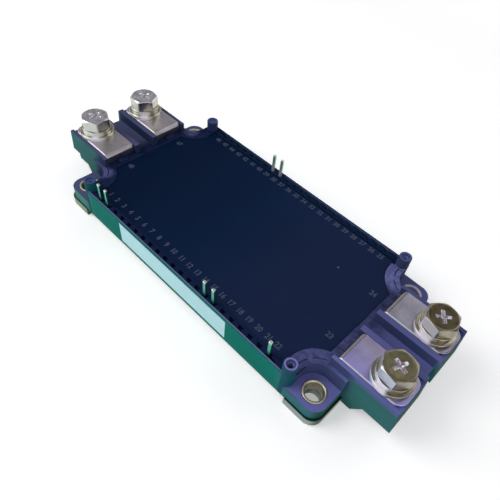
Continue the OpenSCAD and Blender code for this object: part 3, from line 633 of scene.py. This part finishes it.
# Pin numerals
# Plain pale numerals printed on the lid beside each pin place, and one at each corner place of the ends.
lid_top, print_thick, numeral_tall, numeral_bold = 13.0, 0.02, 1.9, 0.09
numeral_narrow, digit_share = 0.86, 0.7
number_pitch, near_line, far_line, near_shift, far_shift = 3.84, -24.65, 25.6, -0.5, -0.1

print_tone, place, join = finish_of("numeral_print")
worn = grain(place, 0.5, 3).between(0.3, 0.75)
join(Base_Color=worn.blend((0.048, 0.062, 0.122), (0.018, 0.028, 0.070)), Roughness=0.55 + 0.1 * worn)


def glyph(text):
    """A number as a thin mesh centred on the origin, as arrays of points and faces. The font's digits are
    digit_share of its size high. They are made numeral_narrow as wide, with lines thicker by numeral_bold."""
    curve = bpy.data.curves.new("glyph", "FONT")
    curve.body, curve.align_x, curve.align_y = text, "CENTER", "CENTER"
    curve.size, curve.extrude = numeral_tall / digit_share / 1000, print_thick / 1000
    curve.offset, curve.resolution_u = numeral_bold / 1000, 2
    holder = added("glyph", curve)
    bpy.context.view_layer.update()
    made = bpy.data.meshes.new_from_object(holder.evaluated_get(bpy.context.evaluated_depsgraph_get()))
    points = np.zeros(len(made.vertices) * 3)
    made.vertices.foreach_get("co", points)
    points = points.reshape(-1, 3)
    points[:, :2] -= (points[:, :2].max(0) + points[:, :2].min(0)) / 2
    faces = [tuple(face.vertices) for face in made.polygons]
    bpy.data.objects.remove(holder)
    bpy.data.meshes.remove(made)
    bpy.data.curves.remove(curve)
    return points * (numeral_narrow, 1, 1), faces


# Both rows count round the module, and four numbers stand apart near the ends.
places = [(number, (number - 11.5) * number_pitch + near_shift, near_line) for number in range(1, 23)]
places += [(number, (35.5 - number) * number_pitch + far_shift, far_line) for number in range(25, 47)]
places += [(23, 47.7, -11.0), (24, 47.7, 11.0), (47, -48.3, 11.7), (48, -48.8, -10.6)]
all_points, all_faces, count = [], [], 0
for number, x, y in places:
    points, faces = glyph(str(number))
    all_points.append(points + np.array([x, y, lid_top + print_thick]) / 1000)
    all_faces += [tuple(corner + count for corner in face) for face in faces]
    count += len(points)
mesh = bpy.data.meshes.new("pin_numerals")
mesh.from_pydata(np.concatenate(all_points), [], all_faces)
numerals = added("pin_numerals", mesh)
wear(numerals, print_tone)
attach(numerals, "root")

# Side label
# A bare film label stuck to the near wall, pale and slightly satin, with nothing printed on it.
film, place, join = finish_of("label_film", Specular_IOR_Level=0.45)
cockle = grain(place, 6, 2, (2, 1, 1))
join(Base_Color=cockle.blend((0.42, 0.77, 0.83), (0.48, 0.83, 0.89)), Roughness=0.32 + 0.1 * cockle,
     Normal=bump(cockle, 0.15, 0.05))
wear(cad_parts["side_label"], film)

# Floor, light and camera
# A plain pale floor under soft studio light, and a camera where the photograph was taken from.
# To the camera, the floor glows into white with the distance, and the world behind it is white.
floor_half, floor_drop, glow_from, glow_to = 3000, 0.05, 245, 775

span = np.linspace(-floor_half, floor_half, 3)
floor_x, floor_y = np.meshgrid(span, span, indexing="ij")
floor_points = np.stack([floor_x, floor_y, 0 * floor_x - floor_drop], -1) / 1000
floor = added("floor", surface("floor", floor_points, close_u=False, close_v=False))


def ray_is(place, *kinds):
    """1 for rays of the given kinds, such as Camera for those from the camera, and 0 for all others."""
    rays = [place.node("LightPath", out=f"Is {kind} Ray") for kind in kinds]
    return sum(rays[1:], rays[0])


floor_tone, place, join = finish_of("floor_tone", Roughness=0.9)
along, across = place.axes()[:2]
speck = grain(place, 40, 2)
join(Base_Color=speck.blend((0.90, 0.90, 0.90), (0.92, 0.92, 0.92)))
viewed, seen = ray_is(place, "Camera"), ray_is(place, "Camera", "Glossy", "Transmission")
distant = off_axis(along * along + across * across, glow_from, glow_to)
glow = place.node("Emission", Color=(1, 1, 1, 1), Strength=seen * 0.36 + viewed * distant * 0.60)
nodes = floor_tone.node_tree.nodes
matt = Wire(floor_tone.node_tree, nodes["Principled BSDF"].outputs[0])
both = place.node("AddShader", s0=matt, s1=glow)
floor_tone.node_tree.links.new(both.socket, nodes["Material Output"].inputs["Surface"])
wear(floor, floor_tone)

world = bpy.data.worlds.new("studio")
bpy.context.scene.world = world
world.use_nodes = True
sky = Wire(world.node_tree)
viewed, seen = ray_is(sky, "Camera"), ray_is(sky, "Camera", "Glossy", "Transmission")
up = sky.node("TexCoord", out=0).axes()[2]
shade = up.between(0.02, 0.50) * (1 - viewed)
background = world.node_tree.nodes["Background"]
world.node_tree.links.new(shade.blend((1.0, 1.0, 1.0), (0.30, 0.30, 0.32)).socket, background.inputs["Color"])
world.node_tree.links.new((0.70 + 0.3 * seen).socket, background.inputs["Strength"])

middle = Vector((0, 0, 0.01))
# The name, place, side and power of each softbox, all of which face the middle of the module.
lamps = [("key", (-0.45, -0.35, 0.55), 0.50, 3.2), ("fill", (0.55, -0.25, 0.45), 0.70, 1.2),
         ("back", (0.15, 0.65, 0.50), 0.60, 1.2)]
for name, spot, side, watts in lamps:
    lamp = bpy.data.lights.new(name, "AREA")
    lamp.shape, lamp.size, lamp.energy = "SQUARE", side, watts
    softbox = added(name, lamp)
    softbox.location = spot
    softbox.rotation_mode = "QUATERNION"
    softbox.rotation_quaternion = (middle - Vector(spot)).to_track_quat("-Z", "Y")

lens = bpy.data.cameras.new("camera")
lens.sensor_width, lens.lens = 36.0, 33.975
lens.shift_x, lens.shift_y = -0.02726, 0.01624
lens.clip_start, lens.clip_end = 0.005, 20
camera = added("camera", lens)
camera.location = (0.07444, -0.08268, 0.13096)
camera.rotation_mode = "QUATERNION"
camera.rotation_quaternion = (0.8644846, 0.3293894, 0.0841733, 0.3702483)
bpy.context.scene.camera = camera
bpy.context.scene.view_settings.view_transform = "Standard"
